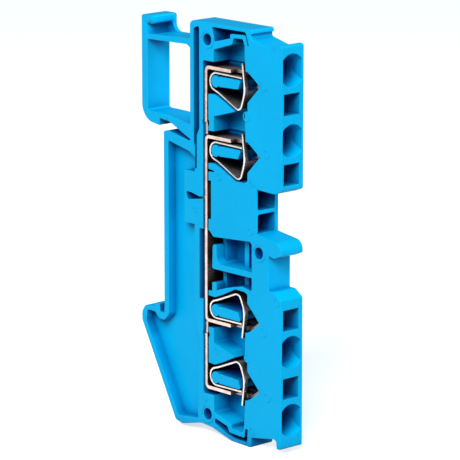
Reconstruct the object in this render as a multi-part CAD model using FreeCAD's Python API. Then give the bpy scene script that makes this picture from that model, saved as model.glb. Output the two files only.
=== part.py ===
"""Four-conductor spring-clamp terminal block for 35 mm rail.

Frame, in millimetres: +X runs along the rail from the open side to the closed side,
-Y points at the wire-entry face, +Z runs up the length of the block. The origin is on
the rail seat, at the middle of the rail's width and of the block's thickness.
"""
import FreeCAD, Part
import math
import os

V = FreeCAD.Vector

# Driving dimensions -------------------------------------------------------------------
THICK = 5.2                 # thickness along the rail
RAIL = 35.0                 # width of the rail that the block clips onto
RAIL_EDGE = 1.0             # thickness of the rail's flange
PITCH = 12.2                # between neighbouring clamps, along Z
MID = -0.45                 # Z of the plane that mirrors the upper clamps to the lower ones
INNER = 16.42               # height of the inner tabs above and below MID
FACE_MID = -1.0             # Z of the middle of the entry face
SQUARE_UP = 12.75           # inner square entries, above and below FACE_MID
ROUND_STEP = 5.8            # from a square entry out to its round entry
FRONT = -30.15              # entry face
TOP = 36.0                  # top of the block
FLOOR = 0.8                 # closed side wall

NEAR, FAR = -THICK / 2, THICK / 2
DEEP = FAR - FLOOR          # bottom of the deep cavities
RECESS = -0.8               # bottom of the shallow recess in the foot
RIM_R = 0.12                # round on the rim of both side faces
CLEAR = 0.15                # gap between the flexing latch and the spine

BAR_T = 0.6                 # copper strip
BAR_Y = -10.85              # middle of the strip's spine
BAR_X = (-2.35, 1.7)        # its edges
TONGUE_X = (-1.15, 0.75)    # narrow end of each tab, through the spring window
NOTCH_Y = -17.2             # where a tab becomes narrow
TIP = (-24.1, -1.75)        # end of a tab, from its own level
SPRING_T = 0.36             # spring steel
SPRING_X = (-2.3, 1.6)
WINDOW_X = (-1.45, 0.95)
LEG_Y = -20.4               # middle of the clamping leg's window
SPLIT_Y = -18.1             # where the clamping leg leaves the loop
SPLIT_GAP = 0.24            # gap there, so that the leg slides past the loop's end
LEG_TOP = 1.7               # end of the leg, from the tab's level
STROKE = 2.4                # travel of the clamping leg

PEG_R = 1.0                 # alignment pegs on the closed side
PEG_LENGTH = 1.2
HOLE_R = 1.05               # alignment holes on the open side
HOLE_DEPTH = 1.6
PEGS = ((-11.5, MID + 33.5), (-24.6, -2.6), (-11.5, MID - 33.5))

# One clamp: its tab's level, and +1 above MID or -1 below. W runs outwards from a tab.
CLAMPS = [("1", MID + INNER + PITCH, 1), ("2", MID + INNER, 1),
          ("3", MID - INNER, -1), ("4", MID - INNER - PITCH, -1)]


# Geometry helpers ---------------------------------------------------------------------
def outline(corners, x):
    """Closed wire in the plane X = x through (y, z) or (y, z, radius) corners."""
    points = [V(x, c[0], c[1]) for c in corners]
    radii = [c[2] if len(c) > 2 else 0.0 for c in corners]
    count = len(points)
    starts, ends, middles = [], [], []
    for i, point in enumerate(points):
        into = (points[i - 1] - point).normalize()
        out = (points[(i + 1) % count] - point).normalize()
        if radii[i] == 0.0:
            starts.append(point)
            ends.append(point)
            middles.append(None)
            continue
        half = into.getAngle(out) / 2
        reach = radii[i] / math.tan(half)
        inward = (into + out).normalize()
        centre = point + inward * (radii[i] / math.sin(half))
        starts.append(point + into * reach)
        ends.append(point + out * reach)
        middles.append(centre - inward * radii[i])
    edges = []
    for i in range(count):
        if middles[i] is not None:
            edges.append(Part.Arc(starts[i], middles[i], ends[i]).toShape())
        following = starts[(i + 1) % count]
        run = following - ends[i]
        if run.dot(points[(i + 1) % count] - points[i]) < -1e-9:
            raise ValueError(f"rounded corners overlap after {corners[i]}")
        if run.Length > 1e-6:
            edges.append(Part.LineSegment(ends[i], following).toShape())
    return Part.Wire(edges)


def prism(corners, x0, x1):
    """Solid between the planes X = x0 and X = x1 with the given outline."""
    return Part.Face(outline(corners, x0)).extrude(V(x1 - x0, 0, 0))


def box(x0, x1, y0, y1, z0, z1):
    """Box between two corners, given in any order along each axis."""
    low = V(min(x0, x1), min(y0, y1), min(z0, z1))
    return Part.makeBox(abs(x1 - x0), abs(y1 - y0), abs(z1 - z0), low)


def strip(path, thickness, x0, x1):
    """Bent strip of constant thickness along (y, z) or (y, z, radius) points."""
    half = thickness / 2
    sides = ([], [])
    count = len(path)
    for i, corner in enumerate(path):
        here = V(corner[0], corner[1], 0)
        back = (here - V(*path[i - 1][:2], 0)).normalize() if i > 0 else None
        ahead = (V(*path[i + 1][:2], 0) - here).normalize() if i < count - 1 else None
        back = back or ahead
        ahead = ahead or back
        turn = back.cross(ahead).z
        left = V(-back.y - ahead.y, back.x + ahead.x, 0).normalize()
        scale = half / math.cos(back.getAngle(ahead) / 2)
        radius = corner[2] if len(corner) > 2 else 0.0
        for side, sign in zip(sides, (1, -1)):
            place = here + left * (scale * sign)
            bend = radius - half * sign * math.copysign(1, turn) if radius else 0.0
            side.append((place.x, place.y, bend))
    return prism(sides[0] + sides[1][::-1], x0, x1)


def at_clamp(level, sign, corners):
    """Turn (y, w) corners of one clamp into (y, z) corners of the block."""
    return [(c[0], level + sign * c[1]) + tuple(c[2:]) for c in corners]


# Housing ------------------------------------------------------------------------------
SPINE_Y = -6.95             # outer face of the spine, towards the rail
RAIL_TOP, RAIL_LOW = RAIL / 2, -RAIL / 2

BLOCK = [
    (0, 15.4, .4), (0, RAIL_LOW - .1, .2), (RAIL_EDGE + .15, RAIL_LOW - .1, .2),
    (RAIL_EDGE + .3, -16.2, .1), (2.6, -16.2, .3), (2.75, -16.95, .2), (5.2, -17.05, .9),
    (6.05, -18.4, .9), (6.05, -19.9, 1), (-2.9, -36.7, .9), (-4.8, -37.1, .9),
    (-9.6, -35.95, 4), (-12.6, -36.2, 3), (-17.6, -37.6, 2), (-22.7, -37.8, .4),
    (-22.7, -36.0), (-28.3, -35.05, .3), (-29.0, -35.3, .4), (-29.15, -36.65, .25),
    (FRONT, -36.65, .35), (FRONT, -10.1, .3), (-28.4, -8.85, .4), (-27.0, -8.85),
    (-27.0, -2.7), (-28.3, -3.0, .3), (FRONT, -2.25, .2), (FRONT, -.2, 1.7),
    (-24.0, .62), (-24.0, 8.5), (-28.4, 8.3, 1), (FRONT, 9.0, .5),
    (FRONT, 34.1, .45), (-29.1, 34.1, .4), (-28.2, 33.05, .3), (-22.45, 34.45, .3),
    (-22.4, 35.2, .1), (-22.8, 35.25, .1), (-22.8, TOP, .35), (SPINE_Y, TOP, 1),
    (SPINE_Y, 14.55, .3), (-1.3, 15.65, .4)]

# Cavity round the metal of one clamp: bar corner, tab, spring loop and tab tip.
CLAMP_CAVITY = [
    (-10.4, 1.15, .3), (-21.2, 1.15), (-21.2, .45), (-21.8, .45, .3), (-24.85, -1.75, .1),
    (-21.7, -4.9, .3), (-21.7, -6.45, .3), (-20.9, -6.8, .3), (-18.6, -6.85, .5),
    (-15.4, -5.3, 1.5), (-13.4, -4.5, 1), (-10.4, -4.7)]
POST = [(-14.4, -1.25, .3), (-20.0, -1.25, .3), (-19.3, -2.85, .3), (-14.4, -3.05, .3)]
POST_HEAD = (-13.55, -2.2, 1.05)
# Pocket that the wire's end runs into: behind an inner clamp, the top one and the bottom one.
INNER_POCKET = [(-13.1, .8, .2), (-21.2, .8), (-21.0, 5.75), (-19.0, 5.6, .3),
                (-17.8, 5.15, .3), (-13.1, 3.8, .3)]
TOP_POCKET = [(-13.1, .8, .2), (-21.2, .8), (-20.75, 5.5, .4), (-20.4, 6.0, .2),
              (-18.2, 5.9, .2), (-17.8, 4.75, .2), (-13.1, 3.3, .4)]
BOTTOM_POCKET = [(-13.1, .8, .2), (-21.2, .8), (-20.85, 5.9, .3), (-20.4, 6.4, .2),
                 (-17.75, 6.3, .2), (-17.6, 5.5, .2), (-13.2, 4.3, .4)]
POCKETS = {"1": TOP_POCKET, "2": INNER_POCKET, "3": INNER_POCKET, "4": BOTTOM_POCKET}
LEG_SLOT_Y = (-19.2, -20.95)   # deep part of a wire pocket, where the leg travels


def clamp_cavities(housing):
    for name, level, sign in CLAMPS:
        cavity = prism(at_clamp(level, sign, CLAMP_CAVITY), NEAR, DEEP)
        post = prism(at_clamp(level, sign, POST), NEAR, DEEP)
        head = Part.makeCylinder(POST_HEAD[2], DEEP - NEAR,
                                 V(NEAR, POST_HEAD[0], level + sign * POST_HEAD[1]), V(1, 0, 0))
        pocket = prism(at_clamp(level, sign, POCKETS[name]), NEAR, 1.3)
        slot = box(NEAR, DEEP, *LEG_SLOT_Y, level, level + sign * (LEG_TOP + STROKE + 1))
        housing = housing.cut([cavity.cut([post, head]), pocket, slot])
    return housing


def wire_entries(housing):
    for name, level, sign in CLAMPS:
        square = FACE_MID + sign * (SQUARE_UP + (PITCH - .05 if name in "14" else 0))
        centre = square + sign * ROUND_STEP
        funnel = Part.makeCone(2.9, 1.45, 5.2, V(-.1, FRONT, centre), V(0, 1, 0))
        mouth = funnel.common(box(-2.3, 2.15, FRONT, FRONT + 5.2, centre - 3, centre + 3))
        channel = Part.makeCylinder(1.45, 5.0, V(-.1, FRONT + 5, level + sign * 1.85), V(0, 1, 0))
        shaft = box(-2.05, 1.65, FRONT, -21.8, square - 1.85, square + 1.85)
        housing = housing.cut([mouth, channel, shaft])
    return housing


def bridge_shafts(housing):
    """Two mouths for a bridge's legs. The web between them widens where it meets the walls."""
    for low, high, web in ((.7, 4.05, 4.05), (4.75, 8.3, 4.75)):
        mouth = box(-2.3, 1.75, -24, -19.8, low, high)
        corners = [edge for edge in mouth.Edges
                   if edge.BoundBox.YLength > 1 and abs(edge.BoundBox.ZMin - web) < 1e-6]
        shaft = box(-1.6, 1.4, -20, -11, low + .4, high - .4)
        housing = housing.cut([mouth.makeFillet(.4, corners), shaft])
    return housing


def open_side_pockets(housing):
    """Pockets, slots and grooves that the mould leaves in the open side."""
    bar_channel = box(NEAR, DEEP, -10.35, -11.75, CLAMPS[3][1] - .6, CLAMPS[0][1] + .6)
    top_pocket = prism([(-12.7, 35.4, .2), (-21.2, 35.45, .6), (-22.0, 33.2, .1), (-21.6, 33.1, .1),
                        (-21.25, 34.9, .6), (-17.2, 34.7, .4), (-17.4, 33.95, .1),
                        (-13.3, 32.85, .2), (-13.2, 33.6, .6)], NEAR, .9)
    spine_slot = prism([(-7.95, 14.3), (-7.95, 34.65, .3), (-9.4, 35.3, .4), (-9.4, 17.2, .4),
                        (-8.75, 15.8, .4), (-8.7, 9.9), (-8.25, 9.9), (-8.25, 13.8, .3)], NEAR, DEEP)
    bridge_slot = box(NEAR, DEEP, -11.3, -12.4, 1.4, 8.3)
    side_slots = [prism([(-11.2, 10.45), (-13.3, 10.15, .1), (-13.3, 9.95, .1), (-11.2, 9.8)], NEAR, 1.0),
                  box(NEAR, 1.0, -9.4, -10.45, -13.2, -.6)]
    crescents = [Part.makeCylinder(.9, 3.4, V(NEAR, -11.1, MID + side * 18.9), V(1, 0, 0))
                 for side in (1, -1)]
    centre = prism([(-10.9, -.6), (-12.0, -.6, .2), (-13.0, -1.6, .4), (-14.2, -1.5, .4),
                    (-22.8, -.9, .7), (-22.8, -9.7, .3), (-20.4, -9.2, 1.5), (-16.3, -10.2, 2),
                    (-12.8, -11.4, .4), (-10.9, -11.4)], NEAR, DEEP)
    shelf = prism([(-12.85, -2.9, .5), (-13.75, -2.9, .3), (-13.85, -6.3, 1.2), (-22.9, -6.3),
                   (-22.9, -7.3), (-12.7, -7.3, .4)], NEAR, DEEP)
    ribs = [box(-.6, DEEP, -13.4, -14.3, -.6, -11.4), box(-.6, DEEP, -18.9, -20.0, -.6, -10)]
    stub = prism([(-12.7, -9.7, .3), (-13.8, -9.7, .3), (-13.8, -11.6), (-12.7, -11.6)], NEAR, DEEP)
    centre = centre.cut([shelf, stub] + ribs)
    bottom_groove = prism([(-13.4, -34.3, .2), (-16.6, -35.15, .3), (-17.15, -36.15, .3),
                           (-20.95, -36.35, .2), (-21.2, -34.7, .1), (-21.85, -34.6, .1),
                           (-21.7, -37.05, .3), (-18.2, -36.95, .5), (-16.5, -36.5, .8),
                           (-13.3, -35.2, .2)], NEAR, 1.0)
    latch_root = prism([(-5.9, 5.5, .3), (-7.2, 5.5, .2), (-9.4, 5.05), (-10.5, 5.2), (-10.5, 4.8),
                        (-9.3, 4.6), (-6.3, 4.1, .5)], NEAR, 1.0)
    return housing.cut([bar_channel, top_pocket, spine_slot, bridge_slot, centre, bottom_groove,
                        latch_root] + side_slots + crescents)


def foot_recess(housing):
    """Thin web behind the rail seat and in the lower foot, sunk from both sides."""
    recess = [(-1.25, 13.9, .3), (-1.25, -17.7, .9), (-.1, -18.9, .6), (1.4, -18.9, .9),
              (2.5, -17.8, .1), (4.5, -17.8, .2), (4.85, -19.9, .3), (-3.6, -35.75, .5),
              (-8.9, -35.2, .4), (-9.3, -20.5, .6), (-8.15, -17.2, .6), (-8.15, -.1),
              (-5.5, -.1, .3), (-5.5, 9.3, .3), (-8.2, 9.3), (-8.2, 11.9, .4), (-6.7, 12.75, .5)]
    far_recess = [(-1.25, 13.6, .4), (-1.25, -17.7, .9), (1.4, -19.4, .9), (4.4, -19.4, .5),
                  (-3.8, -35.2, .8), (-8.6, -34.6, .8), (-8.6, 9.3, .8), (-5.6, 12.0, .8)]
    return housing.cut([prism(recess, NEAR, RECESS), prism(far_recess, .6, FAR)])


def make_housing():
    slab = prism(BLOCK, NEAR, FAR)
    rims = [edge for edge in slab.Edges if edge.BoundBox.XLength < 1e-6]
    housing = slab.makeFillet(RIM_R, rims)
    housing = foot_recess(housing)
    housing = open_side_pockets(housing)
    housing = clamp_cavities(housing)
    housing = wire_entries(housing)
    housing = bridge_shafts(housing)
    for y, z in PEGS:
        hole = Part.makeCylinder(HOLE_R, HOLE_DEPTH, V(NEAR, y, z), V(1, 0, 0))
        peg = Part.makeCylinder(PEG_R, PEG_LENGTH, V(FAR, y, z), V(1, 0, 0))
        tip = [edge for edge in peg.Edges if edge.BoundBox.XMin > FAR + PEG_LENGTH - 1e-6]
        housing = housing.cut(hole).fuse(peg.makeChamfer(.2, tip))
    return housing.removeSplitter()


# Rail latch ---------------------------------------------------------------------------
def make_latch():
    """Sprung foot: outer wall, finger lip, two flexing arms and the hook for the rail."""
    root = SPINE_Y + CLEAR
    frame = prism([(root, 32.7), (4.2, 32.15, .2), (4.2, 34.1, .2), (2.6, 34.0, .6),
                   (2.5, 35.6, .4), (5.65, 35.6, .6), (5.65, 16.9, 3.2),
                   (RAIL_EDGE, 16.25, .15), (RAIL_EDGE, RAIL_TOP + .1, .15), (-1.8, 17.2, 1.2),
                   (-5.9, 15.4, .8), (root, 14.95), (root, 17.5), (-.6, 18.4, 2),
                   (4.15, 18.45, .5), (4.15, 31.3, .3), (-6.25, 31.6, .3), (root, 31.1)],
                  NEAR, FAR)
    web = prism([(5.6, 35.55, .6), (2.2, 35.55, .4), (2.2, 32.4, 1.6), (-1.4, 32.4),
                 (-1.4, 31.9), (5.6, 31.8)], DEEP, FAR)
    return frame.fuse(web).removeSplitter()


# Copper -------------------------------------------------------------------------------
TAB = [TIP, (-21.7, 0, .6), (BAR_Y, 0, .75)]
PLUG_X = (-1.0, .6)         # plug that joins an outer limb to the main bar
PLUG_Z = (-.6, .36)         # its height, from the inner tab's level
NECK_X = (-2.2, 1.4)        # limb beside the plug
NECK_TOP = 2.5


def narrow_tabs(bar, levels):
    for level in levels:
        for edge, side in zip(TONGUE_X, BAR_X):
            bar = bar.cut(box(edge, side, NOTCH_Y, -25, level - 2.2, level + 2.2))
    return bar


def make_main_bar():
    (_, upper, _), (_, lower, _) = CLAMPS[1:3]
    path = at_clamp(upper, 1, TAB) + at_clamp(lower, -1, TAB)[::-1]
    bar = narrow_tabs(strip(path, BAR_T, *BAR_X), (upper, lower))
    for sign, level in ((1, upper), (-1, lower)):
        ends = (level + sign * PLUG_Z[0], level + sign * (PLUG_Z[1] + .1))
        bar = bar.cut(box(*PLUG_X, BAR_Y - BAR_T / 2, BAR_Y + BAR_T / 2, *ends))
    for low, high in ((1.5, 3.7), (5.7, 7.8)):
        bar = bar.cut(box(-1.2, .8, BAR_Y - 1, BAR_Y + 1, low, high))
    return bar


def make_limb(outer, inner):
    """L-shaped outer limb: its own tab, a straight limb and the plug into the main bar."""
    _, level, sign = outer
    joint = inner[1]
    foot = joint + sign * PLUG_Z[1]
    limb = strip(at_clamp(level, sign, TAB) + [(BAR_Y, foot)], BAR_T, *BAR_X)
    limb = narrow_tabs(limb, (level,))
    for neck, side in zip(NECK_X, BAR_X):
        limb = limb.cut(box(neck, side, BAR_Y - 1, BAR_Y + 1, foot, joint + sign * NECK_TOP))
    plug = box(*PLUG_X, BAR_Y - BAR_T / 2, BAR_Y + BAR_T / 2, foot, joint + sign * PLUG_Z[0])
    return limb.fuse(plug).removeSplitter()


# Springs ------------------------------------------------------------------------------
LOOP = [(-19.9, -.85), (-11.85, -.72, 1.55), (-11.85, -3.4, 1.4), (-13.9, -4.1, 4)]
APEX = {1: (-19.45, -6.85, 1.0), -1: (-19.2, -6.25, 1.1)}   # upper clamps, lower clamps
LEG = [(-20.65, -3.3, 5), (-20.05, LEG_TOP)]


def on_diagonal(y, sign):
    """Point of the run between the loop and the apex."""
    (y0, w0, _), (y1, w1, _) = LOOP[3], APEX[sign]
    return (y, w0 + (w1 - w0) * (y - y0) / (y1 - y0))


def make_loop(level, sign):
    path = LOOP + [on_diagonal(SPLIT_Y + SPLIT_GAP / 2, sign)]
    return strip(at_clamp(level, sign, path), SPRING_T, *SPRING_X)


def make_leg(level, sign):
    path = [on_diagonal(SPLIT_Y - SPLIT_GAP / 2, sign), APEX[sign]] + LEG
    leg = strip(at_clamp(level, sign, path), SPRING_T, *SPRING_X)
    window = box(*WINDOW_X, LEG_Y - 1, LEG_Y + .6, level - sign * 3.1, level + sign * .6)
    return leg.cut(window)


def build():
    parts = {"housing": make_housing(), "rail_latch": make_latch(), "main_bar": make_main_bar(),
             "upper_limb": make_limb(CLAMPS[0], CLAMPS[1]),
             "lower_limb": make_limb(CLAMPS[3], CLAMPS[2])}
    for name, level, sign in CLAMPS:
        parts["spring_loop_" + name] = make_loop(level, sign)
        parts["clamp_leg_" + name] = make_leg(level, sign)
    return parts


os.makedirs("parts", exist_ok=True)
for node, shape in build().items():
    shape.exportStep("parts/" + node + ".step")
    print(node, shape.isValid(), round(shape.Volume, 2))
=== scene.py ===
# %% [markdown]
# # A four-clamp terminal block for 35 mm rail
#
# This lesson dresses a finished CAD model. The CAD parts already have their real size and
# place, and they move on real joints. Blender adds what a moulding shop and a press add:
# rounded edges, the grain of the plastic, and the sheen of copper and spring steel. Every
# length below is in millimetres times `MM`.

# %% Load the frame
import math

import bpy
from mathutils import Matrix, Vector


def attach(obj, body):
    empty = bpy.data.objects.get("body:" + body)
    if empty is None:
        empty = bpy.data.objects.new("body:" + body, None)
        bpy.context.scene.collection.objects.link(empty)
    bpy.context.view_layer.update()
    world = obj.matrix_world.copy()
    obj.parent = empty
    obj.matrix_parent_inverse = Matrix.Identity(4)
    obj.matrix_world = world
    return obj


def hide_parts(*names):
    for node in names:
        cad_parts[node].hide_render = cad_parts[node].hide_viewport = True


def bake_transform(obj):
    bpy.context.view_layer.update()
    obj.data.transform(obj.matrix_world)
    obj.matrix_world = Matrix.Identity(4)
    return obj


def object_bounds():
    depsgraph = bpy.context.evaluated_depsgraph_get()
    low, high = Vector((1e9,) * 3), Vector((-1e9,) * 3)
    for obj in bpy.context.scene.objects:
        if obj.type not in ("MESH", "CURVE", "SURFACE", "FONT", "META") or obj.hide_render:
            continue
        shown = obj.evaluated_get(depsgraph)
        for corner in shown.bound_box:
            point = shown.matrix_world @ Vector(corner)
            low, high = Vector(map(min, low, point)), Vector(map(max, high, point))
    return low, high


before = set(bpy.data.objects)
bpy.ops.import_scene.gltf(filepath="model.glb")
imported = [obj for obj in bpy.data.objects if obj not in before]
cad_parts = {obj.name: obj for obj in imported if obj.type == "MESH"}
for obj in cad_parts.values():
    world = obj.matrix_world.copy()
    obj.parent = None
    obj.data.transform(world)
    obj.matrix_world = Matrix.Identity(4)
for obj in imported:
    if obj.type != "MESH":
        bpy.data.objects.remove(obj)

MM = 0.001
cad_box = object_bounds()
size_mm = [round((high - low) / MM, 2) for low, high in zip(*cad_box)]
print("CAD box", size_mm, "mm, nodes", len(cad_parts))

# %% [markdown]
# ## The camera
#
# A long lens far away keeps the block's upright edges almost parallel. The camera is placed by
# the direction it looks from (azimuth and elevation, in degrees), the distance, and the point
# it aims at, which lies near the middle of the block. The lamps are placed in the same way.

# %% Camera
AZIMUTH, ELEVATION = -42.68, 12.60
DISTANCE = 582.3 * MM
AIM = Vector((6.75, -7.15, -2.75)) * MM
LENS, SENSOR = 256.5, 36.0
NEAR_CLIP = 50 * MM


def aimed(name, data, azimuth, elevation, distance):
    """A camera or a lamp that stands off from AIM in a given direction and faces it."""
    azimuth, elevation = math.radians(azimuth), math.radians(elevation)
    away = Vector((math.sin(azimuth) * math.cos(elevation),
                   -math.cos(azimuth) * math.cos(elevation),
                   math.sin(elevation)))
    obj = bpy.data.objects.new(name, data)
    obj.location = AIM + away * distance
    obj.rotation_euler = (-away).to_track_quat("-Z", "Y").to_euler()
    bpy.context.collection.objects.link(obj)
    return obj


camera_data = bpy.data.cameras.new("Camera")
camera_data.lens = LENS
camera_data.sensor_width = SENSOR
camera_data.clip_start = NEAR_CLIP
camera = aimed("Camera", camera_data, AZIMUTH, ELEVATION, DISTANCE)
bpy.context.scene.camera = camera
print("camera at", [round(v / MM, 1) for v in camera.location], "mm")

# %% [markdown]
# ## Floor and light
#
# The block stands on a plain white sheet. Its deep pockets should stay dark, so most of the
# light comes from one softbox high on the left: it reaches the open side, the entry face and
# the top alike, but not the bottoms of the pockets. A weaker one fills the entry face, and a
# dim sky keeps the undersides readable. The sheet glows a little and sends no diffuse light
# back, so that it stays white without filling the shadows on the block. "Standard" colour
# keeps the strong blue of the plastic, which a film-like transform would grey.

# %% Floor
FLOOR_SIZE = 6000 * MM
FLOOR_GAP = 0.01 * MM

floor_z = cad_box[0].z
bpy.ops.object.select_all(action="DESELECT")
bpy.ops.mesh.primitive_plane_add(size=FLOOR_SIZE, location=(0, 0, floor_z - FLOOR_GAP))
floor = bpy.context.object
floor.name = "floor"
floor.visible_diffuse = False
print("floor at", round(floor_z / MM, 2), "mm")

# %% Lamps and sky
SKY_COLOUR, SKY_STRENGTH = (0.40, 0.75, 1.0), 0.22

bpy.context.scene.view_settings.view_transform = "Standard"

sky = bpy.data.worlds.new("Sky")
sky.use_nodes = True
background = sky.node_tree.nodes["Background"]
background.inputs["Color"].default_value = (*SKY_COLOUR, 1)
background.inputs["Strength"].default_value = SKY_STRENGTH
bpy.context.scene.world = sky


def softbox(name, azimuth, elevation, distance, size, watts):
    """A square lamp that faces the middle of the block from a given direction."""
    data = bpy.data.lights.new(name, "AREA")
    data.energy = watts
    data.size = size
    aimed(name, data, azimuth, elevation, distance)
    print(name, watts, "W")


softbox("key_lamp", azimuth=-58, elevation=36, distance=0.9, size=0.42, watts=9.0)
softbox("face_lamp", azimuth=24, elevation=20, distance=0.9, size=0.40, watts=2.6)

# %% [markdown]
# ## Materials
#
# Three finishes cover the block. The plastic is blue polyamide: its colour drifts a little
# where the melt flowed, and the mould gives it a fine grain; its edges get a thin painted
# highlight and its pockets painted shade. The bar is stamped copper, and the cages are rolled
# spring steel with a warm tint; their edges get a painted highlight too, and shut-in places
# painted shade. Each one reads Object coordinates, which are real millimetres on the block. A
# noise's scale is therefore given in bumps per millimetre.

# %% Material helpers
MIX_AMOUNT, MIX_BASE, MIX_OVER = 0, 6, 7    # inputs of a Mix node that mixes colours
MIX_RESULT = 2                              # its output
NOISE_SPAN = (0.3, 0.7)                     # where nearly all of a noise's values lie
RAMP_STOPS = (0.35, 0.65)
EDGE_SPAN = (0.985, 0.80)                   # cosine to the true normal, flat to fully an edge
DARKEST = 0.97


def new_material(name):
    """An empty node material and functions that add and link nodes in it."""
    material = bpy.data.materials.new(name)
    material.use_nodes = True
    tree = material.node_tree
    shader = tree.nodes["Principled BSDF"]

    def add(kind, **settings):
        node = tree.nodes.new(kind)
        for key, value in settings.items():
            if key in node.inputs:
                node.inputs[key].default_value = value
            else:
                setattr(node, key.lower(), value)
        return node

    def link(source, output, target, entry):
        tree.links.new(source.outputs[output], target.inputs[entry])

    return material, shader, add, link


def noise(add, link, place, scale, detail=2.0):
    """A noise texture with `scale` bumps per millimetre."""
    texture = add("ShaderNodeTexNoise", Scale=scale / MM, Detail=detail)
    link(place, "Object", texture, "Vector")
    return texture


def remapped(add, link, source, output, before, after):
    """The value at `output` of a node, moved from the range `before` to the range `after`."""
    remap = add("ShaderNodeMapRange")
    ends = zip(("From Min", "From Max", "To Min", "To Max"), (*before, *after))
    for entry, value in ends:
        remap.inputs[entry].default_value = value
    link(source, output, remap, "Value")
    return remap


def spread(add, link, texture, low, high):
    """Turns a noise between 0 and 1 into a value between low and high."""
    return remapped(add, link, texture, "Fac", NOISE_SPAN, (low, high))


def two_tone(add, link, texture, dark, light):
    """A colour ramp from dark to light, driven by a noise."""
    ramp = add("ShaderNodeValToRGB")
    for element, position, colour in zip(ramp.color_ramp.elements, RAMP_STOPS, (dark, light)):
        element.position = position
        element.color = (*colour, 1)
    link(texture, "Fac", ramp, "Fac")
    return ramp


def painted_edge_highlight(add, link, rounding, most):
    """Painted highlight mask: 0 on flat faces, up to `most` where a bevelled normal leaves the
    true one: on edges.
    """
    surface = add("ShaderNodeNewGeometry")
    facing = add("ShaderNodeVectorMath", Operation="DOT_PRODUCT")
    link(rounding, "Normal", facing, 0)
    link(surface, "Normal", facing, 1)
    return remapped(add, link, facing, "Value", EDGE_SPAN, (0.0, most))


def mixed(add, link, amount, base, output, over):
    """The colour at `output` of `base`, with `over` laid on it by the given amount."""
    mix = add("ShaderNodeMix", Data_Type="RGBA")
    mix.inputs[MIX_OVER].default_value = (*over, 1)
    link(amount, "Result", mix, MIX_AMOUNT)
    link(base, output, mix, MIX_BASE)
    return mix


def painted_pocket_shade(add, link, reach, openness_span, shade_colour, skin):
    """Painted shade: darken a mixed colour where the surface is shut in within `reach`, as in a
    pocket.
    """
    openness = add("ShaderNodeAmbientOcclusion", Distance=reach, Samples=6)
    amount = remapped(add, link, openness, "AO", openness_span, (0.0, DARKEST))
    return mixed(add, link, amount, skin, MIX_RESULT, shade_colour)


# %% Blue polyamide
EDGE_ROUND = 0.13 * MM
DARK_BLUE, LIGHT_BLUE = (0.0, 0.47, 0.86), (0.0, 0.50, 0.91)
# Painted highlight colour laid on the plastic's edges.
EDGE_HIGHLIGHT_BLUE = (0.02, 0.74, 1.0)
# Painted shade colour laid in the plastic's pockets.
POCKET_SHADE_BLUE = (0.0, 0.02, 0.20)
SHEEN_BLUE = (0.05, 0.80, 1.0)
POCKET_REACH = 4.5 * MM
POCKET_SPAN = (0.80, 0.24)                  # openness where darkening starts and is complete


def blue_polyamide():
    """Moulded plastic: drifting tint, painted highlights on its edges, painted shade in its
    pockets, and a fine grain.
    """
    material, shader, add, link = new_material("blue_polyamide")
    place = add("ShaderNodeTexCoord")
    rounding = add("ShaderNodeBevel", Radius=EDGE_ROUND, Samples=4)
    drift = noise(add, link, place, 0.09, detail=3)
    tint = two_tone(add, link, drift, DARK_BLUE, LIGHT_BLUE)
    # Painted highlight on the edges of the plastic.
    edge = painted_edge_highlight(add, link, rounding, 0.75)
    skin = mixed(add, link, edge, tint, "Color", EDGE_HIGHLIGHT_BLUE)
    # Painted shade in the pockets.
    shaded = painted_pocket_shade(add, link, POCKET_REACH, POCKET_SPAN, POCKET_SHADE_BLUE, skin)
    link(shaded, MIX_RESULT, shader, "Base Color")
    patches = noise(add, link, place, 0.5)
    link(spread(add, link, patches, 0.32, 0.46), "Result", shader, "Roughness")
    bump = add("ShaderNodeBump", Strength=0.12, Distance=0.01 * MM)
    link(noise(add, link, place, 9.0), "Fac", bump, "Height")
    link(rounding, "Normal", bump, "Normal")
    link(bump, "Normal", shader, "Normal")
    shader.inputs["IOR"].default_value = 1.53
    shader.inputs["Specular IOR Level"].default_value = 0.2
    shader.inputs["Specular Tint"].default_value = (*SHEEN_BLUE, 1)
    return material


# %% Copper and spring steel
METAL_ROUND = 0.06 * MM
# Painted shade colour laid on the metal where it is shut in.
SHUT_IN_SHADE = (0.012, 0.010, 0.012)
SHUT_IN_REACH = 3.0 * MM
SHUT_IN_SPAN = (0.92, 0.55)


def metal(name, dull, bright, glosses, streaks, highlight_colour):
    """Rolled or stamped metal: stained and streaked, with a painted highlight along its edges and
    painted shade where it is shut in.
    """
    material, shader, add, link = new_material(name)
    place = add("ShaderNodeTexCoord")
    stretch = add("ShaderNodeMapping", Scale=streaks)
    link(place, "Object", stretch, "Vector")
    streak = add("ShaderNodeTexNoise", Scale=4.0 / MM, Detail=3.0)
    link(stretch, "Vector", streak, "Vector")
    tint = two_tone(add, link, noise(add, link, place, 0.7, detail=3), dull, bright)
    rounding = add("ShaderNodeBevel", Radius=METAL_ROUND, Samples=4)
    # Painted highlight along the metal's edges.
    edge = painted_edge_highlight(add, link, rounding, 0.6)
    skin = mixed(add, link, edge, tint, "Color", highlight_colour)
    # Painted shade where the metal is shut in.
    shaded = painted_pocket_shade(add, link, SHUT_IN_REACH, SHUT_IN_SPAN, SHUT_IN_SHADE, skin)
    link(shaded, MIX_RESULT, shader, "Base Color")
    link(spread(add, link, streak, *glosses), "Result", shader, "Roughness")
    bump = add("ShaderNodeBump", Strength=0.25, Distance=0.006 * MM)
    link(streak, "Fac", bump, "Height")
    link(rounding, "Normal", bump, "Normal")
    link(bump, "Normal", shader, "Normal")
    shader.inputs["Metallic"].default_value = 0.85
    return material


# %% Make and hand out the materials
BLUE = blue_polyamide()
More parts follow.
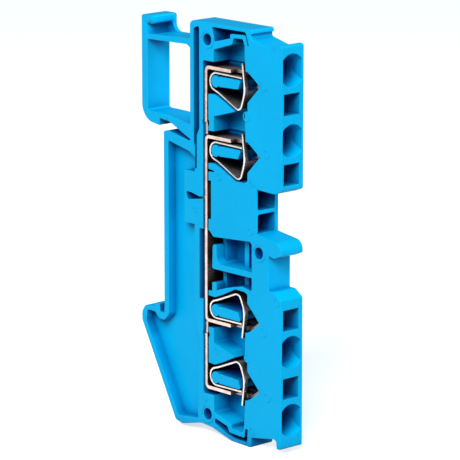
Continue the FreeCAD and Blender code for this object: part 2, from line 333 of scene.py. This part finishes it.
# The last colour given to each metal is a painted highlight for its edges.
COPPER = metal("tinned_copper", dull=(0.80, 0.52, 0.42), bright=(0.98, 0.76, 0.66),
               glosses=(0.24, 0.40), streaks=(0.15, 1, 1), highlight_colour=(1.0, 0.90, 0.84))
STEEL = metal("spring_steel", dull=(0.80, 0.68, 0.60), bright=(0.99, 0.90, 0.83),
              glosses=(0.18, 0.32), streaks=(1, 0.15, 0.15), highlight_colour=(1.0, 0.96, 0.92))

SHEET, sheet_shader, *_ = new_material("white_sheet")
sheet_shader.inputs["Base Color"].default_value = (0.93, 0.93, 0.93, 1)
sheet_shader.inputs["Roughness"].default_value = 0.8
sheet_shader.inputs["Emission Color"].default_value = (1, 1, 1, 1)
sheet_shader.inputs["Emission Strength"].default_value = 0.65
floor.data.materials.append(SHEET)


def paint(obj, material):
    """Give an object one material in place of those it has."""
    obj.data.materials.clear()
    obj.data.materials.append(material)


for node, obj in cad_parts.items():
    is_plastic = node in ("housing", "rail_latch")
    is_copper = node.endswith(("bar", "limb"))
    paint(obj, BLUE if is_plastic else COPPER if is_copper else STEEL)
print("materials on", len(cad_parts), "CAD nodes")

# %% [markdown]
# ## The cage springs
#
# Each clamp is one strip of spring steel, bent into a cage: an upper run that lies under the
# copper tab, a rear bend, a diagonal, a tight apex, and a leg that comes back up and lets the
# tab through its window. A screwdriver pushes the leg outwards and the diagonal bends.
#
# A bent strip could be a curve with a bevel, but a curve can't have a window. So the strip
# starts as one edge across its width, which is extruded along the straight runs and spun round
# the bends, as a press would form it. Solidify then gives it the thickness of the sheet. The
# spring is made in two pieces that meet behind the rear bend: the first stays with the block,
# and the second is not attached to any body.

# %% The path of a bent strip
STRIP = 0.36 * MM
SPRING_X = (-2.3 * MM, 1.6 * MM)
WINDOW_X = (-1.45 * MM, 0.95 * MM)
RUN_STEP = 0.8 * MM
TURN_STEP = math.radians(12)
WELD = 0.005 * MM


def bent_path(corners):
    """Straight runs and bends along (y, w, bend radius) corners, in metres."""
    places = [Vector((0.0, y, w)) for y, w, _ in corners]
    moves, here = [], places[0]
    for i in range(1, len(corners) - 1):
        into = (places[i] - places[i - 1]).normalized()
        out = (places[i + 1] - places[i]).normalized()
        turn = into.angle(out)
        radius = corners[i][2]
        reach = radius * math.tan(turn / 2)
        start = places[i] - into * reach
        side = into.cross(out).normalized()
        moves.append(("run", start - here))
        moves.append(("bend", start + side.cross(into) * radius, turn * side.x))
        here = places[i] + out * reach
    moves.append(("run", places[-1] - here))
    return moves


# %% Draw a sheet along a path
def only(kind, keep):
    """In edit mode, select just the items, "VERT" or "FACE", whose centre passes `keep`."""
    bpy.ops.mesh.select_mode(type=kind)
    bpy.ops.mesh.select_all(action="DESELECT")
    bpy.ops.object.mode_set(mode="OBJECT")
    mesh = bpy.context.object.data
    for item in mesh.vertices if kind == "VERT" else mesh.polygons:
        item.select = keep(item.co if kind == "VERT" else item.center)
    bpy.ops.object.mode_set(mode="EDIT")


def start_edge(name, place, x_range):
    """A new object that is one edge across X, selected in edit mode."""
    bpy.ops.object.select_all(action="DESELECT")
    width = x_range[1] - x_range[0]
    middle = (x_range[0] + x_range[1]) / 2
    bpy.ops.mesh.primitive_plane_add(size=width, location=(middle, place.y + width / 2, place.z))
    piece = bpy.context.object
    piece.name = name
    bpy.ops.object.transform_apply(location=True, rotation=True, scale=True)
    bpy.ops.object.mode_set(mode="EDIT")
    only("VERT", lambda co: co.y > place.y + width / 2)
    bpy.ops.mesh.delete(type="VERT")
    bpy.ops.mesh.select_mode(type="EDGE")
    bpy.ops.mesh.select_all(action="SELECT")
    return piece


def draw_sheet(name, corners):
    """A thin sheet that follows the corners, still in edit mode."""
    piece = start_edge(name, Vector((0.0, corners[0][0], corners[0][1])), SPRING_X)
    for move in bent_path(corners):
        if move[0] == "run":
            count = max(1, math.ceil(move[1].length / RUN_STEP))
            step = {"value": move[1] / count}
            for _ in range(count):
                bpy.ops.mesh.extrude_region_move(TRANSFORM_OT_translate=step)
        else:
            count = max(2, math.ceil(abs(move[2]) / TURN_STEP))
            bpy.ops.mesh.spin(steps=count, angle=-move[2], center=move[1], axis=(1, 0, 0))
    bpy.ops.mesh.select_all(action="SELECT")
    bpy.ops.mesh.remove_doubles(threshold=WELD)
    return piece


# %% Window, thickness and edges of a spring piece
LEG_SIDE_Y = -19.0 * MM         # the leg lies beyond this, and the rest of the cage before it
SEAM_REACH = 0.3 * MM
STRIP_ROUND = 0.05 * MM
SMOOTH_ANGLE = math.radians(40)


def cut_window(low, high):
    """Open the leg between two heights, so that the copper tab passes through."""
    for x in WINDOW_X:
        bpy.ops.mesh.select_all(action="SELECT")
        bpy.ops.mesh.bisect(plane_co=(x, 0, 0), plane_no=(1, 0, 0))
    for height in (low, high):
        bpy.ops.mesh.select_all(action="SELECT")
        bpy.ops.mesh.bisect(plane_co=(0, 0, height), plane_no=(0, 0, 1))
    only("FACE", lambda co: (WINDOW_X[0] < co.x < WINDOW_X[1]
                             and low < co.z < high
                             and co.y < LEG_SIDE_Y))
    bpy.ops.mesh.delete(type="FACE")


def roll_steel(piece, seam):
    """Give a sheet its thickness and rounded edges, except on the seam between two pieces."""
    bpy.ops.mesh.select_all(action="SELECT")
    bpy.ops.mesh.normals_make_consistent(inside=False)
    bpy.ops.object.mode_set(mode="OBJECT")
    thicken = piece.modifiers.new("thickness", "SOLIDIFY")
    thicken.thickness = STRIP
    thicken.offset = 0
    thicken.use_even_offset = True
    bpy.ops.object.modifier_apply(modifier=thicken.name)
    mesh = piece.data
    normals_at = {}
    for face in mesh.polygons:
        for key in face.edge_keys:
            normals_at.setdefault(key, []).append(face.normal.copy())
    weight = mesh.attributes.new("bevel_weight_edge", "FLOAT", "EDGE")
    for edge in mesh.edges:
        ends = [mesh.vertices[v].co for v in edge.vertices]
        on_seam = all((end - seam).yz.length < SEAM_REACH for end in ends)
        normals = normals_at.get(edge.key, [])
        is_smooth = len(normals) == 2 and normals[0].angle(normals[1], 0.0) < SMOOTH_ANGLE
        weight.data[edge.index].value = 0.0 if on_seam or is_smooth else 1.0
    rounding = piece.modifiers.new("edges", "BEVEL")
    rounding.width = STRIP_ROUND
    rounding.segments = 2
    rounding.limit_method = "WEIGHT"
    bpy.ops.object.modifier_apply(modifier=rounding.name)
    bpy.ops.object.shade_smooth_by_angle(angle=SMOOTH_ANGLE)


# %% The four springs
# Corners are (y, w, bend radius) in millimetres, with w measured outwards from the clamp's own
# height. The lower clamps are mirrored, so their sign is -1.

UPPER_RUN = [(-19.9, -0.85, 0), (-11.85, -0.72, 1.55), (-11.85, -3.4, 1.4)]
DIAGONAL_START = (-13.9, -4.1, 4.0)
APEX = {1: (-19.45, -6.85, 1.0), -1: (-19.2, -6.25, 1.1)}
LEG = [(-20.65, -3.3, 5.0), (-20.05, 1.7, 0)]
SEAM_SHARE = 0.55               # where the two pieces meet, from the rear bend to the diagonal
WINDOW_W = (-3.1, 0.6)
MIDDLE = -0.45                  # height that the clamps are mirrored about
INNER = 16.42                   # from there to the two inner clamps
PITCH = 12.2                    # from an inner clamp to the outer one

rear, front = (Vector((0.0, *corner[:2])) for corner in (UPPER_RUN[2], DIAGONAL_START))
seam_w = rear.lerp(front, SEAM_SHARE)
LEVELS = {"1": (MIDDLE + INNER + PITCH, 1), "2": (MIDDLE + INNER, 1),
          "3": (MIDDLE - INNER, -1), "4": (MIDDLE - INNER - PITCH, -1)}


def at_clamp(level, sign, corners):
    """The same corners at one clamp's height, in metres."""
    return [(y * MM, (level + sign * w) * MM, radius * MM) for y, w, radius in corners]


for number, (level, sign) in LEVELS.items():
    seam_corner = (seam_w.y, seam_w.z, 0)
    seam = Vector((0.0, seam_w.y * MM, (level + sign * seam_w.z) * MM))
    loop = draw_sheet("cage_spring_" + number, at_clamp(level, sign, UPPER_RUN + [seam_corner]))
    roll_steel(loop, seam)
    lower_run = [seam_corner, DIAGONAL_START, APEX[sign]] + LEG
    leg = draw_sheet("clamping_leg_" + number, at_clamp(level, sign, lower_run))
    cut_window(*sorted((level + sign * w) * MM for w in WINDOW_W))
    roll_steel(leg, seam)
    for piece in (loop, leg):
        paint(piece, STEEL)
    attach(loop, "block")
    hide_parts("spring_loop_" + number)
    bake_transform(leg)
    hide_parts("clamp_leg_" + number)
    print(loop.name, len(loop.data.polygons), leg.name, len(leg.data.polygons), "faces")

# %% [markdown]
# ## The sprung foot
#
# The foot is moulded in one piece with the spine. In the CAD model it stands 0.15 mm off, so
# that it can slide. Here a copy of it reaches back to the spine. Its arms are cut into short
# lengths, because a mesh bends only at its edges.

# %% Copy the foot and join it to the spine
SPINE_Y = -6.95 * MM
LATCH_ROOT_Y = -6.80 * MM
RIM = 0.12 * MM                 # round on the spine's rim, which the root covers
FIRST_CUT_Y, CUT_STEP, CUTS = -6.4 * MM, 0.9 * MM, 9
WELD_CAD = 0.001 * MM


def merged_copy(name, node):
    """A new object with a CAD node's shape, as one closed mesh, in edit mode."""
    bpy.ops.object.select_all(action="DESELECT")
    piece = bpy.data.objects.new(name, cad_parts[node].data.copy())
    bpy.context.collection.objects.link(piece)
    bpy.context.view_layer.objects.active = piece
    piece.select_set(True)
    bpy.ops.object.mode_set(mode="EDIT")
    bpy.ops.mesh.select_mode(type="VERT")
    bpy.ops.mesh.select_all(action="SELECT")
    bpy.ops.mesh.remove_doubles(threshold=WELD_CAD)
    return piece


foot = merged_copy("sprung_foot", "rail_latch")
only("VERT", lambda co: abs(co.y - LATCH_ROOT_Y) < 0.02 * MM)
bpy.ops.transform.translate(value=(0, SPINE_Y - RIM - LATCH_ROOT_Y, 0))
for cut in range(CUTS):
    bpy.ops.mesh.select_all(action="SELECT")
    bpy.ops.mesh.bisect(plane_co=(0, FIRST_CUT_Y + cut * CUT_STEP, 0), plane_no=(0, 1, 0))
bpy.ops.object.mode_set(mode="OBJECT")
bpy.ops.object.shade_smooth_by_angle(angle=math.radians(30))
paint(foot, BLUE)
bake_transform(foot)
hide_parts("rail_latch")
print("sprung foot", len(foot.data.polygons), "faces")

# %% [markdown]
# ## Marks of the mould
#
# Round pins push the moulding out of its tool, and each leaves a faint ring. The three peg
# holes have a raised rim. They are flattened rings that stand out by less than a tenth of a
# millimetre, enough to catch the light. A ring's plane is turned to face along X before it is
# flattened.

# %% Rings on the open side
NEAR_X = cad_box[0].x           # the open side
PEG_RIM_RADIUS, PEG_RIM_BEAD, PEG_RIM_PROUD = 1.5, 0.17, 0.09
EJECTOR_BEAD, EJECTOR_PROUD = 0.12, 0.07


def mark(y, z, radius, bead, proud):
    """A flattened ring on the open side, at (y, z), as its own object."""
    bpy.ops.object.select_all(action="DESELECT")
    bpy.ops.mesh.primitive_torus_add(major_radius=radius * MM, minor_radius=bead * MM,
                                     major_segments=40, minor_segments=8,
                                     rotation=(0, math.radians(90), 0),
                                     location=(NEAR_X, y * MM, z * MM))
    ring = bpy.context.object
    ring.scale = (1, 1, proud / bead)
    bpy.ops.object.transform_apply(location=True, rotation=True, scale=True)
    bpy.ops.object.shade_smooth()
    return ring


PEG_RIMS = [(-11.5, 33.05), (-24.6, -2.6), (-11.5, -33.95)]
EJECTORS = [(-25.6, 26.6, 0.8), (-21.45, 20.85, 0.8), (-26.4, 14.95, 0.7), (-14.5, 9.3, 0.6),
            (-22.8, 9.3, 0.5), (-8.2, 2.5, 0.45), (-22.4, 0.85, 0.6), (-29.0, -10.6, 0.7),
            (-25.9, -16.5, 0.7), (-21.7, -21.8, 0.7), (-13.8, -21.95, 0.55), (-26.8, -27.95, 0.75),
            (-10.9, -31.3, 0.45), (-22.9, -34.7, 0.6)]
rings = [mark(y, z, PEG_RIM_RADIUS, PEG_RIM_BEAD, PEG_RIM_PROUD) for y, z in PEG_RIMS]
rings += [mark(y, z, radius, EJECTOR_BEAD, EJECTOR_PROUD) for y, z, radius in EJECTORS]
bpy.ops.object.select_all(action="DESELECT")
for ring in rings:
    ring.select_set(True)
bpy.context.view_layer.objects.active = rings[0]
bpy.ops.object.join()
marks = bpy.context.object
marks.name = "mould_marks"
paint(marks, BLUE)
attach(marks, "block")
print("mould marks", len(rings))
